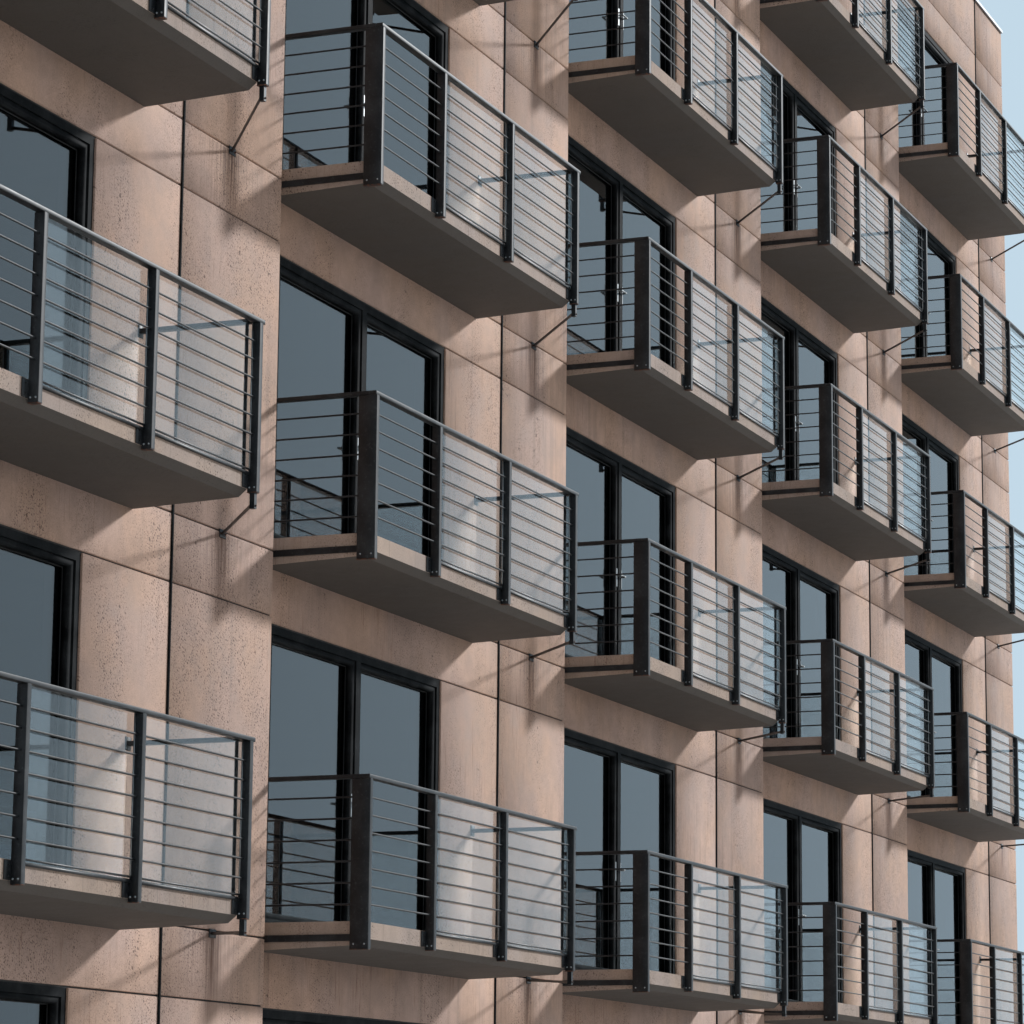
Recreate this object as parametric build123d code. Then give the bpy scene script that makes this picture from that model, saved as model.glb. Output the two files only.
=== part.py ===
from build123d import *
import os

# A stepped row of apartment bays in precast concrete, with stacked balconies on the street side.
# Millimetres. X runs along the row, -Y is the street side and Z is up, from ground level.
# The origin is the middle of the whole block's box, at the ground.

# Layout of the row
bay_count = 5
bay_width = 6300.0
bay_step = 160.0
block_depth = 10800.0
upper_storeys = 5
storey_height = 2800.0
ground_floor_level = 450.0

# Floors, base and roof
floor_thickness = 200.0
plinth_inset = 40.0
parapet_rise = 700.0
coping_thickness = 40.0
coping_overhang = 30.0

# Concrete wall panels
wall_thickness = 300.0
panel_joint = 12.0
panel_foot_drop = 120.0
pier_width = 300.0
narrow_panel_width = 1220.0

# Glazed doors
door_width = 3200.0
door_head = 2200.0
door_frame_setback = 15.0
door_frame_depth = 120.0
door_frame_width = 60.0
door_mullion_width = 80.0
door_sill_height = 50.0
door_glass_thickness = 24.0
door_glass_inset = 75.0

# Windows of the back wall
window_width = 2400.0
window_height = 1350.0
window_sill = 850.0
window_glass_thickness = 24.0
window_glass_setback = 140.0

# Balcony slabs
balcony_before_door = 150.0
balcony_past_door = 650.0
balcony_depth = 850.0
balcony_edge_thickness = 120.0
balcony_bevel_width = 60.0
balcony_bevel_height = 50.0
balcony_root_thickness = 200.0

# Balcony railings
rail_height = 1040.0
rail_thickness = 30.0
rail_width = 60.0
rail_overhang = 40.0
post_width = 48.0
post_depth = 70.0
corner_post_depth = 145.0
post_foot_drop = 20.0
corner_post_foot_drop = 80.0
second_post_distance = 1150.0
third_post_distance = 2550.0
bar_size = 14.0
top_bar_drop = 160.0
lowest_bar_height = 118.0
front_bar_count = 7
side_bar_count = 6
railing_glass_thickness = 10.0
railing_glass_foot_drop = 20.0
upright_size = 20.0
upright_inset = 20.0

# Steel bars fixed to the balcony slab
edge_bar_thickness = 10.0
edge_bar_height = 48.0
edge_bar_drop = 92.0
hanger_size = 36.0
hanger_height = 110.0
strut_size = 20.0
strut_foot_inset = 10.0
strut_reach = 1300.0
strut_rise = 90.0

# Places that follow from the sizes above
level_count = upper_storeys + 1
row_length = bay_count * bay_width
row_setback = (bay_count - 1) * bay_step
front_reach = balcony_depth + post_depth
balcony_length = balcony_before_door + door_width + balcony_past_door
row_left = -row_length / 2
first_front = (front_reach - block_depth - row_setback) / 2
roof_level = ground_floor_level + level_count * storey_height
parapet_top = roof_level + parapet_rise
base_top = ground_floor_level - panel_foot_drop
narrow_panel_start = pier_width + door_width
panel_split = narrow_panel_start + narrow_panel_width
bay_numbers = range(bay_count)
upper_levels = range(1, level_count)


def bay_left(bay):
    """The X of a bay's left edge."""
    return row_left + bay * bay_width


def bay_front(bay):
    """The Y of a bay's outer wall face on the street side."""
    return first_front + bay * bay_step


def bay_back(bay):
    """The Y of a bay's outer wall face at the back."""
    return bay_front(bay) + block_depth


def floor_level(level):
    """The height of a storey's floor."""
    return ground_floor_level + level * storey_height


def block(x_range, y_range, z_range):
    """A plain block between three pairs of limits."""
    sizes = [high - low for low, high in (x_range, y_range, z_range)]
    corner = (x_range[0], y_range[0], z_range[0])
    return Pos(*corner) * Box(*sizes, align=Align.MIN)


def upright_sheet(sketch, left, back, foot, depth):
    """A sketch stood upright along X and given its depth towards the street."""
    street_plane = Plane(origin=(left, back, foot), x_dir=(1, 0, 0), z_dir=(0, -1, 0))
    return extrude(street_plane * sketch, amount=depth)


def save(name, solids):
    """Write one node from its solids."""
    export_step(Compound(list(solids)), f"parts/{name}.step")


def stepped_slab(foot, top, inset, end_inset):
    """A floor over the whole row, with the row's steps, inset from the outer wall faces."""
    lefts = [bay_left(bay) for bay in bay_numbers]
    lefts[0] += end_inset
    ends = lefts[1:] + [row_left + row_length - end_inset]
    street = []
    garden = []
    for bay, (left, right) in enumerate(zip(lefts, ends)):
        front = bay_front(bay) + inset
        back = bay_back(bay) - inset
        street += [(left, front), (right, front)]
        garden += [(left, back), (right, back)]
    outline = Polyline(street + garden[::-1], close=True)
    return extrude(Pos(0, 0, foot) * make_face(outline), amount=top - foot)


def wall_panels(bay):
    """Precast panels beside the doors, and the bands and parapet panels over them."""
    left = bay_left(bay)
    wall_depth = (bay_front(bay), bay_front(bay) + wall_thickness)
    half_joint = panel_joint / 2
    narrow = (left + narrow_panel_start, left + panel_split - half_joint)
    over_door = (left + pier_width, left + panel_split - half_joint)
    wide = (left + panel_split + half_joint, left + bay_width)
    panels = []
    for level in range(level_count):
        floor = floor_level(level)
        band_foot = floor + door_head
        foot = floor - panel_foot_drop + (half_joint if level else 0)
        wall_rows = (foot, band_foot - half_joint)
        band_rows = (band_foot + half_joint, floor + storey_height - panel_foot_drop - half_joint)
        panels += [block(narrow, wall_depth, wall_rows), block(wide, wall_depth, wall_rows)]
        panels += [block(over_door, wall_depth, band_rows), block(wide, wall_depth, band_rows)]
    parapet_rows = (roof_level - panel_foot_drop + half_joint, parapet_top)
    panels += [block(over_door, wall_depth, parapet_rows), block(wide, wall_depth, parapet_rows)]
    return panels


def wall_pier(bay):
    """The full-height concrete pier at a bay's left edge."""
    left = bay_left(bay)
    front = bay_front(bay)
    return block((left, left + pier_width), (front, front + wall_thickness), (base_top, parapet_top))


def party_wall(bay, left):
    """A plain end wall between a bay's front and back walls."""
    depth_range = (bay_front(bay) + wall_thickness, bay_back(bay) - wall_thickness)
    return block((left, left + wall_thickness), depth_range, (base_top, parapet_top))


def back_wall(bay):
    """One bay of the back wall, with a window opening on each storey."""
    sheet = Rectangle(bay_width, parapet_top - base_top, align=Align.MIN)
    for level in range(level_count):
        corner = Pos((bay_width - window_width) / 2, floor_level(level) + window_sill - base_top)
        sheet -= corner * Rectangle(window_width, window_height, align=Align.MIN)
    return upright_sheet(sheet, bay_left(bay), bay_back(bay), base_top, wall_thickness)


def window_pane(bay, level):
    """The glass of a back window, which fills its opening."""
    left = bay_left(bay) + (bay_width - window_width) / 2
    foot = floor_level(level) + window_sill
    outer = bay_back(bay) - window_glass_setback
    y_range = (outer - window_glass_thickness, outer)
    return block((left, left + window_width), y_range, (foot, foot + window_height))


def door_foot(level):
    """The height of the lower edge of a storey's door frame."""
    return floor_level(level) - panel_foot_drop + (panel_joint / 2 if level else 0)


def door_height(level):
    """The full height of a storey's door frame."""
    return floor_level(level) + door_head - panel_joint / 2 - door_foot(level)


def leaf_size(level):
    """The width and height of the glass of one door leaf."""
    clear_width = door_width - 2 * door_frame_width - door_mullion_width
    foot = floor_level(level) + door_sill_height
    head = door_foot(level) + door_height(level) - door_frame_width
    return clear_width / 2, head - foot


def leaf_lefts():
    """The left edges of the two leaves' glass, from the opening's left side."""
    width = leaf_size(0)[0]
    return door_frame_width, door_frame_width + width + door_mullion_width


def door_frame(bay, level):
    """The fixed frame of a two-leaf glazed door, with its mullion and a deep sill."""
    sheet = Rectangle(door_width, door_height(level), align=Align.MIN)
    leaf_width, leaf_height = leaf_size(level)
    sill = floor_level(level) + door_sill_height - door_foot(level)
    for left in leaf_lefts():
        sheet -= Pos(left, sill) * Rectangle(leaf_width, leaf_height, align=Align.MIN)
    left = bay_left(bay) + pier_width
    back = bay_front(bay) + door_frame_setback + door_frame_depth
    return upright_sheet(sheet, left, back, door_foot(level), door_frame_depth)


def door_panes(bay, level):
    """The two sheets of glass of one door."""
    leaf_width, leaf_height = leaf_size(level)
    front = bay_front(bay) + door_frame_setback + door_glass_inset
    foot = floor_level(level) + door_sill_height
    y_range = (front, front + door_glass_thickness)
    z_range = (foot, foot + leaf_height)
    opening = bay_left(bay) + pier_width
    lefts = [opening + left for left in leaf_lefts()]
    return [block((left, left + leaf_width), y_range, z_range) for left in lefts]


def coping(bay):
    """The flat metal cap on one bay's street parapet."""
    front = bay_front(bay)
    x_range = (bay_left(bay), bay_left(bay) + bay_width - panel_joint)
    y_range = (front - coping_overhang, front + wall_thickness)
    return block(x_range, y_range, (parapet_top, parapet_top + coping_thickness))


def balcony_left(bay):
    """The X of a balcony slab's left end, a little before the door opening."""
    return bay_left(bay) + pier_width - balcony_before_door


def balcony_right(bay):
    """The X of a balcony slab's right end."""
    return balcony_left(bay) + balcony_length


def balcony_slab(bay, level):
    """A slab with a thin front edge, a bevel behind it and a soffit that falls towards the wall."""
    shoulder = -balcony_edge_thickness - balcony_bevel_height
    profile = Polyline(
        (0, 0),
        (-balcony_depth, 0),
        (-balcony_depth, -balcony_edge_thickness),
        (-balcony_depth + balcony_bevel_width, shoulder),
        (0, -balcony_root_thickness),
        close=True,
    )
    corner = (balcony_left(bay), bay_front(bay), floor_level(level))
    end_plane = Plane(origin=corner, x_dir=(0, 1, 0), z_dir=(1, 0, 0))
    return extrude(end_plane * make_face(profile), amount=balcony_length)


def post_line(bay):
    """The Y range of the posts, which stand in front of the slab's edge."""
    slab_front = bay_front(bay) - balcony_depth
    return slab_front - post_depth, slab_front


def bar_line(bay):
    """The Y range of the front bars, at the middle of the posts' depth."""
    middle = sum(post_line(bay)) / 2
    return middle - bar_size / 2, middle + bar_size / 2


def rail_line(bay):
    """The Y range of the front top rail, over the middle of the posts."""
    middle = sum(post_line(bay)) / 2
    return middle - rail_width / 2, middle + rail_width / 2


def rail_rows(level):
    """The Z range of the top rails."""
    top = floor_level(level) + rail_height
    return top - rail_thickness, top


def post_rows(level, foot_drop):
    """The Z range of a post, from below the slab's edge up to the top rail."""
    return floor_level(level) - balcony_edge_thickness - foot_drop, rail_rows(level)[0]


def bar_levels(level, count):
    """The heights of the middles of a panel's bars, from the lowest up."""
    low = floor_level(level) + lowest_bar_height
    high = floor_level(level) + rail_height - top_bar_drop
    return [low + step * (high - low) / (count - 1) for step in range(count)]


def slotted_post(bay, level, distance):
    """A post in front of the slab, with one long slot that the bars pass through."""
    middle = balcony_left(bay) + distance
    x_range = (middle - post_width / 2, middle + post_width / 2)
    bars = bar_levels(level, front_bar_count)
    slot_rows = (bars[0] - bar_size / 2, bars[-1] + bar_size / 2)
    post = block(x_range, post_line(bay), post_rows(level, post_foot_drop))
    return post - block(x_range, bar_line(bay), slot_rows)


def railing_posts(bay, level):
    """A balcony's corner post, two slotted posts, end post and the thin upright beside it."""
    left = balcony_left(bay)
    right = balcony_right(bay)
    front, back = post_line(bay)
    corner_depth = (front, front + corner_post_depth)
    corner_rows = post_rows(level, corner_post_foot_drop)
    corner_post = block((left - post_width, left), corner_depth, corner_rows)
    end_rows = post_rows(level, post_foot_drop)
    end_post = block((right, right + post_width), (front, back), end_rows)
    upright_front = back + upright_inset
    upright_y = (upright_front, upright_front + upright_size)
    upright_rows = (floor_level(level), rail_rows(level)[0])
    upright = block((right - upright_size, right), upright_y, upright_rows)
    distances = (second_post_distance, third_post_distance)
    slotted = [slotted_post(bay, level, distance) for distance in distances]
    return [corner_post, *slotted, end_post, upright]


def front_rail(bay, level):
    """The front top rail, which runs a little past the end post."""
    rail_left = balcony_left(bay) - (post_width + rail_width) / 2
    rail_right = balcony_right(bay) + post_width + rail_overhang
    return [block((rail_left, rail_right), rail_line(bay), rail_rows(level))]


def front_bars(bay, level):
    """Bars from the corner post to the end post, threaded through the posts between them."""
    x_range = (balcony_left(bay), balcony_right(bay))
    heights = bar_levels(level, front_bar_count)
    bar_ranges = [(height - bar_size / 2, height + bar_size / 2) for height in heights]
    return [block(x_range, bar_line(bay), z_range) for z_range in bar_ranges]


def side_bars(bay, level):
    """Bars of the left side, from the corner post back to the wall."""
    middle = balcony_left(bay) - post_width / 2
    x_range = (middle - bar_size / 2, middle + bar_size / 2)
    y_range = (post_line(bay)[0] + corner_post_depth, bay_front(bay))
    heights = bar_levels(level, side_bar_count)
    bar_ranges = [(height - bar_size / 2, height + bar_size / 2) for height in heights]
    return [block(x_range, y_range, z_range) for z_range in bar_ranges]


def side_rails(bay, level):
    """Top rails of the two sides, from the front rail back to the wall."""
    y_range = (rail_line(bay)[1], bay_front(bay))
    left_middle = balcony_left(bay) - post_width / 2
    right_middle = balcony_right(bay) + post_width / 2
    middles = (left_middle, right_middle)
    x_ranges = [(middle - rail_width / 2, middle + rail_width / 2) for middle in middles]
    return [block(x_range, y_range, rail_rows(level)) for x_range in x_ranges]


def railing_panes(bay, level):
    """Clear panes behind the front bars of the two right-hand fields, and along the right side."""
    left = balcony_left(bay)
    right = balcony_right(bay)
    z_range = (floor_level(level) - railing_glass_foot_drop, rail_rows(level)[0])
    back = rail_line(bay)[1]
    front_range = (back - railing_glass_thickness, back)
    half_post = post_width / 2
    second_field = (left + second_post_distance + half_post, left + third_post_distance - half_post)
    third_field = (left + third_post_distance + half_post, right)
    side_middle = right + half_post
    half_pane = railing_glass_thickness / 2
    side_range = (side_middle - half_pane, side_middle + half_pane)
    side_depth = (post_line(bay)[1], bay_front(bay))
    panes = [block(field, front_range, z_range) for field in (second_field, third_field)]
    return panes + [block(side_range, side_depth, z_range)]


def edge_bar(bay, level):
    """The flat bar along the slab's left side, from the corner post back to the wall."""
    left = balcony_left(bay)
    corner_back = post_line(bay)[0] + corner_post_depth
    top = floor_level(level) - edge_bar_drop
    y_range = (corner_back, bay_front(bay))
    return block((left - edge_bar_thickness, left), y_range, (top - edge_bar_height, top))


def hanger_and_strut(bay, level):
    """The square hanger under the end post, and the strut that rises from it sideways to the wall."""
    middle = balcony_right(bay) + post_width / 2
    post_middle = sum(post_line(bay)) / 2
    half = hanger_size / 2
    top = post_rows(level, post_foot_drop)[0]
    foot = top - hanger_height
    hanger_y = (post_middle - half, post_middle + half)
    hanger = block((middle - half, middle + half), hanger_y, (foot, top))
    strut_height = foot + strut_foot_inset + strut_size / 2
    start = (middle, hanger_y[1], strut_height)
    end = (middle + strut_reach, bay_front(bay), strut_height + strut_rise)
    sections = []
    for corner in (start, end):
        plane = Plane(origin=corner, x_dir=(1, 0, 0), z_dir=(0, 1, 0))
        sections.append(plane * Rectangle(strut_size, strut_size))
    return [hanger, loft(sections, ruled=True)]


def slab_steel(bay, level):
    """A balcony's flat edge bar, hanger and strut."""
    return [edge_bar(bay, level), *hanger_and_strut(bay, level)]


def each_balcony(make, bays):
    """The pieces that a function makes, over the balconies of some bays."""
    return [piece for bay in bays for level in upper_levels for piece in make(bay, level)]


os.makedirs("parts", exist_ok=True)

# Base, floors and roof
save("base_slab", [stepped_slab(0, base_top, plinth_inset, plinth_inset)])
ground_slab = stepped_slab(base_top, ground_floor_level, wall_thickness, wall_thickness)
save("ground_floor_slab", [ground_slab])
floors = []
for level in upper_levels:
    top = floor_level(level)
    floors.append(stepped_slab(top - floor_thickness, top, wall_thickness, wall_thickness))
save("upper_floor_slabs", floors)
roof_slab = stepped_slab(roof_level - floor_thickness, roof_level, wall_thickness, wall_thickness)
save("roof_slab", [roof_slab])

# End walls, piers and the caps of the street parapet
save("left_party_wall", [party_wall(0, row_left)])
save("right_party_wall", [party_wall(bay_count - 1, row_left + row_length - wall_thickness)])
save("facade_piers", [wall_pier(bay) for bay in bay_numbers])
save("parapet_copings", [coping(bay) for bay in bay_numbers])

# Pieces that are grouped by bay
for bay in bay_numbers:
    number = bay + 1
    save(f"facade_panels_bay_{number}", wall_panels(bay))
    save(f"door_frames_bay_{number}", [door_frame(bay, level) for level in range(level_count)])
    save(f"back_wall_bay_{number}", [back_wall(bay)])
    save(f"balcony_slabs_bay_{number}", [balcony_slab(bay, level) for level in upper_levels])
    save(f"railing_posts_bay_{number}", each_balcony(railing_posts, [bay]))
    save(f"railing_front_bars_bay_{number}", each_balcony(front_bars, [bay]))

# Pieces that are grouped over the whole row
save("door_glass", [pane for bay in bay_numbers for level in range(level_count)
                    for pane in door_panes(bay, level)])
save("back_window_glass", [window_pane(bay, level) for bay in bay_numbers
                           for level in range(level_count)])
save("railing_front_rails", each_balcony(front_rail, bay_numbers))
save("railing_side_bars", each_balcony(side_bars, bay_numbers))
save("railing_side_rails", each_balcony(side_rails, bay_numbers))
save("railing_glass", each_balcony(railing_panes, bay_numbers))
save("balcony_steel_bars", each_balcony(slab_steel, bay_numbers))
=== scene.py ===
import math

import bpy
import numpy as np
from mathutils import Matrix, Vector


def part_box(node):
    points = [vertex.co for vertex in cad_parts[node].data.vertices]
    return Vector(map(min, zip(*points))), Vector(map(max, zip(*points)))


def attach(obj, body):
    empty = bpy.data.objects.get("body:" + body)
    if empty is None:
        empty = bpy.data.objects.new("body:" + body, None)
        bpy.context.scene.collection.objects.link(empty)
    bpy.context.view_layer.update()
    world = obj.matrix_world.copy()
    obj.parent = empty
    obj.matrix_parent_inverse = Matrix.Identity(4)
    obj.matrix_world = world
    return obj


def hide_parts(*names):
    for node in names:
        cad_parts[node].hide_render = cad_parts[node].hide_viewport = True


bl_info = {
    "name": "Stepped apartment block",
    "version": (1, 0, 0),
    "blender": (4, 5, 0),
    "location": "View3D > Sidebar > Block",
    "description": "Dresses the packed apartment block with concrete, steel, glass and fittings",
    "category": "Object",
}

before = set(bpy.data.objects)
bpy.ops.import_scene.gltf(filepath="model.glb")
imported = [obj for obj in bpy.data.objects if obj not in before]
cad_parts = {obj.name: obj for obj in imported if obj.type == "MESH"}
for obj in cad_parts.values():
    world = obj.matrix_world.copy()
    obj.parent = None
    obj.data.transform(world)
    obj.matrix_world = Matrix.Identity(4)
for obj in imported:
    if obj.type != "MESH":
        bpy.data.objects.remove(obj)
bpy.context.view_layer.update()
BAYS = 5
STOREYS = 6
END_PANELS = 3  # across an end wall


def side(name, end, axis):
    """One side of a CAD node's box at rest: end 0 is low and 1 is high, and axis 0 to 2 is x to z."""
    return round(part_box(name)[end][axis], 4)


row_left = side("left_party_wall", 0, 0)
street_face = side("facade_panels_bay_1", 0, 1)
floor_level = side("ground_floor_slab", 1, 2)
roof_level = side("roof_slab", 1, 2)
storey = (roof_level - floor_level) / STOREYS
slab_front = side("balcony_slabs_bay_1", 0, 1)


def linear(hex_colour):
    """An sRGB hex colour as three linear values: (c + 0.055) / 1.055 to the power 2.4 above the dark toe."""
    values = np.array([int(hex_colour[i:i + 2], 16) for i in (1, 3, 5)]) / 255
    toe = values / 12.92
    curve = ((values + 0.055) / 1.055) ** 2.4
    return tuple(float(v) for v in np.where(values <= 0.04045, toe, curve))


# Sizes and colours that a user would change

def length(name, description, default, lowest=0.0):
    """A length property in metres, or a coordinate, which may be negative."""
    return bpy.props.FloatProperty(name=name, description=description, default=default, min=lowest, unit="LENGTH")


def colour(name, description, default):
    """A colour property from an sRGB hex value."""
    return bpy.props.FloatVectorProperty(name=name, description=description, default=linear(default), size=3,
                                         min=0.0, max=1.0, subtype="COLOR")


class BlockSizes(bpy.types.PropertyGroup):
    """Sizes of the block, the same as the solids have."""
    bay_width: length("Bay width", "Length of one bay along the row", 6.3)
    bay_step: length("Bay step", "How far each bay stands behind the one to its left",
                     side("facade_panels_bay_2", 0, 1) - street_face)
    row_left: length("Row left", "X of the row's left end", row_left, -100.0)
    first_front: length("First front", "Y of the first bay's street face", street_face, -100.0)
    block_depth: length("Block depth", "Depth from street face to back face",
                        side("back_wall_bay_1", 1, 1) - street_face)
    ground_floor: length("Ground floor", "Height of the ground floor", floor_level)
    storey_height: length("Storey height", "From floor to floor", storey)
    parapet_rise: length("Parapet rise", "Height of the parapet over the roof",
                         side("left_party_wall", 1, 2) - roof_level)
    wall_thickness: length("Wall thickness", "Thickness of the concrete walls", 0.3)
    panel_joint: length("Panel joint", "Gap between two panels", 0.012)
    panel_foot_drop: length("Panel foot drop", "How far a panel starts below its floor",
                            floor_level - side("facade_panels_bay_1", 0, 2))
    panel_chamfer: length("Panel chamfer", "Width of the panels' bevelled arrises", 0.006)
    pier_width: length("Pier width", "Width of the pier at a bay's left", 0.3)
    narrow_panel_width: length("Narrow panel width", "Width of the panel right of the door", 1.22)
    door_width: length("Door width", "Width of the door opening", 3.2)
    door_head: length("Door head", "Height of the opening's top over the floor", 2.2)
    window_width: length("Window width", "Width of a back window", 2.4)
    window_height: length("Window height", "Height of a back window", 1.35)
    window_sill: length("Window sill", "Height of a back window's foot over the floor", 0.85)
    balcony_start: length("Balcony start", "From the bay's left to the balcony slab",
                          side("balcony_slabs_bay_1", 0, 0) - row_left)
    balcony_length: length("Balcony length", "Length of a balcony slab",
                           side("balcony_slabs_bay_1", 1, 0) - side("balcony_slabs_bay_1", 0, 0))
    balcony_depth: length("Balcony depth", "Depth of a balcony slab", street_face - slab_front)
    rail_height: length("Rail height", "Top of the rail over the floor",
                        side("railing_front_rails", 1, 2) - floor_level - (STOREYS - 1) * storey)
    rail_thickness: length("Rail thickness", "Height of the top rail's section", 0.03)
    rail_width: length("Rail width", "Width of the top rail's section", 0.06)
    post_width: length("Post width", "Width of a post along the row", 0.048)
    post_depth: length("Post depth", "Depth of a post across the row",
                       slab_front - side("railing_posts_bay_1", 0, 1))
    second_post: length("Second post", "From the slab's left end to the second post's middle", 1.15)
    third_post: length("Third post", "From the slab's left end to the third post's middle", 2.55)
    post_drop: length("Post drop", "How far a post's foot hangs below the floor", 0.14)
    corner_post_depth: length("Corner post depth", "Depth of the corner post", 0.145)
    corner_post_drop: length("Corner post drop", "How far the corner post's foot hangs below the floor", 0.2)
    bar_diameter: length("Bar diameter", "Diameter of the railing bars", 0.014)
    low_bar: length("Low bar", "Height of the lowest bar over the floor", 0.118)
    top_bar_drop: length("Top bar drop", "From the rail's top down to the highest bar", 0.16)
    stay_reach: length("Stay reach", "From the end post along the wall to the stay's anchor", 1.3)
    anchor_drop: length("Anchor drop", "From the floor down to the stay's anchor", 0.14)


class BlockColours(bpy.types.PropertyGroup):
    """Base colours of the block's materials."""
    concrete: colour("Concrete", "Warm grey-pink of the wall panels", "#B4998A")
    concrete_dark: colour("Concrete stain", "Water stains and air holes", "#6B605A")
    slab: colour("Balcony concrete", "Concrete of the balcony slabs", "#A39388")
    # Painted shade: the colour that the slabs' undersides darken to
    underside_painted_shade: colour("Slab underside", "Grime under the slabs", "#413E3B")
    rust: colour("Rust", "Rust streaks and rusted fittings", "#643E2B")
    steel: colour("Steel", "Anthracite powder coat of the railings", "#15171A")
    steel_worn: colour("Worn steel", "Coat rubbed thin along the edges", "#767B7F")
    door_frame: colour("Door frame", "Anthracite coat of the door frames", "#121416")
    sealant: colour("Sealant", "Joint sealant between panels", "#242322")
    membrane: colour("Membrane", "Roof covering", "#56575A")
    aluminium: colour("Aluminium", "Folded metal caps and sills", "#8E9093")
    # Painted shade: the door glass body is tinted much darker than real glass, so that rooms behind look dark
    door_glass: colour("Door glass", "Body of the insulating glass", "#4F606B")
    railing_glass: colour("Railing glass", "Body of the laminated glass", "#FAFDFD")
    floor: colour("Studio floor", "Floor of the stage", "#E9E9E7")


# Shells: points (n, 3), the corners of all faces in one row, and each face's corner count

def shell(points, corners, counts):
    """A closed surface with its faces turned outwards: where the sum over the fan triangles of a . (b x c), which is
    six times the enclosed volume, comes out negative, every face's corners run the other way."""
    points = np.asarray(points, float)
    corners = np.asarray(corners, int)
    counts = np.asarray(counts, int)
    starts = np.cumsum(counts) - counts
    volume = 0.0
    for step in range(1, counts.max() - 1):
        wide = starts[counts > step + 1]
        a, b, c = (points[corners[wide + k]] for k in (0, step, step + 1))
        volume += np.einsum("ij,ij->", a, np.cross(b, c))
    if volume < 0:
        ends = np.repeat(starts + counts, counts)
        order = np.arange(len(corners))
        corners = corners[np.repeat(starts, counts) + ends - 1 - order]
    return points, corners, counts


def lofted(rings, loop=False):
    """A closed shell through rings of equal length: the quad at (i, j) joins points i, i + 1 of rings j, j + 1. The
    first and last rings are faces, or in a loop the last ring joins the first."""
    rings = np.asarray(rings, float)
    rows, columns = rings.shape[:2]
    index = np.arange(rows * columns).reshape(rows, columns)
    grid = np.column_stack([index, index[:, :1]])
    if loop:
        grid = np.vstack([grid, grid[:1]])
    quads = np.stack([grid[:-1, :-1], grid[:-1, 1:], grid[1:, 1:], grid[1:, :-1]], -1)
    caps = [] if loop else [index[0][::-1], index[-1]]
    counts = [4] * (quads.size // 4) + [columns] * len(caps)
    return shell(rings.reshape(-1, 3), np.concatenate([quads.ravel(), *caps]), counts)


def joined(shells):
    """Several shells as one, with each one's corner numbers moved up past the points before it."""
    points, corners, counts = zip(*shells)
    starts = np.cumsum([0] + [len(one) for one in points])
    corners = [one + start for one, start in zip(corners, starts)]
    return np.concatenate(points), np.concatenate(corners), np.concatenate(counts)


def repeated(one, places):
    """A shell set at every place: P(k, i) = place k + point i."""
    points, corners, counts = one
    places = np.asarray(places, float).reshape(-1, 1, 3)
    shifts = np.arange(len(places))[:, None] * len(points)
    return (places + points).reshape(-1, 3), (shifts + corners).ravel(), np.tile(counts, len(places))


def outline(width, height, radius, steps):
    """A rectangle's outline with round corners: each corner is radius times (cos t, sin t) about its own centre."""
    turns = np.linspace(0, math.pi / 2, steps + 1)
    quarters = np.arange(4)[:, None] * math.pi / 2 + turns
    sides = np.array([(1, 1), (-1, 1), (-1, -1), (1, -1)], float)
    centres = sides * (np.array([width, height]) / 2 - radius)
    arcs = radius * np.stack([np.cos(quarters), np.sin(quarters)], -1)
    return (centres[:, None] + arcs).reshape(-1, 2)


def circle(axis, radius, sides, start=0.0):
    """Points (r cos t, r sin t, 0) round an axis, 0 to 2 for x to z."""
    turns = (np.arange(sides) + start) * 2 * math.pi / sides
    points = np.zeros((sides, 3))
    points[:, (axis + 1) % 3] = np.cos(turns) * radius
    points[:, (axis + 2) % 3] = np.sin(turns) * radius
    return points


def block(x_range, y_range, z_range, axis="z", radius=0.003, steps=1):
    """A bar along one axis: its outline has round corners, and its ends are bevelled by the same radius, with rings
    at 0 and L drawn in by the radius and rings at r and L - r at full size."""
    ranges = np.array([x_range, y_range, z_range], float)
    w = "xyz".index(axis)
    across = [(w + 1) % 3, (w + 2) % 3]
    sizes = np.diff(ranges)[across, 0]
    full = outline(*sizes, radius, steps)
    small = full * (1 - 2 * radius / sizes)
    low, high = ranges[w]
    rings = np.zeros((4, len(full), 3))
    rings[:, :, across] = np.stack([small, full, full, small]) + ranges[across].mean(1)
    rings[:, :, w] = np.array([low, low + radius, high - radius, high])[:, None]
    return lofted(rings)


def span(middle, reach):
    """The range that reaches out by the same length each way from a middle."""
    return middle - reach, middle + reach


def rod(start, stop, diameter, sides=10, bevel=0.0):
    """A round bar between two points along one axis: (r cos t, r sin t) at each end, with an optional bevel."""
    start, stop = np.array([start, stop], float)
    along = stop - start
    ring = circle(int(np.argmax(np.abs(along))), diameter / 2, sides)
    if not bevel:
        return lofted([start + ring, stop + ring])
    inward = along / np.linalg.norm(along) * bevel
    small = ring * (1 - 2 * bevel / diameter)
    return lofted([start + small, start + inward + ring, stop - inward + ring, stop + small])


def swept(profile, start, stop):
    """A closed profile of points (n, 3) carried straight from one point to another."""
    return lofted([np.add(profile, start), np.add(profile, stop)])


def rim(outer, inner, section):
    """A mitred frame in the XZ plane. The section's points are (share, inset, y): at each of the four corners the
    point stands at outer corner + share * (inner corner - outer corner), drawn in by the inset, at depth y."""
    outer, inner = (np.array([(x0, z0), (x1, z0), (x1, z1), (x0, z1)], float)[:, None]
                    for x0, z0, x1, z1 in (outer, inner))
    inward = np.array([(1, 1), (-1, 1), (-1, -1), (1, -1)], float)[:, None]
    share, inset, depth = np.asarray(section, float).T[:, None, :, None]
    flat = outer + share * (inner - outer) + inset * inward
    depths = np.broadcast_to(depth, flat[..., :1].shape)
    return lofted(np.concatenate([flat[..., :1], depths, flat[..., 1:]], -1), loop=True)


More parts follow.
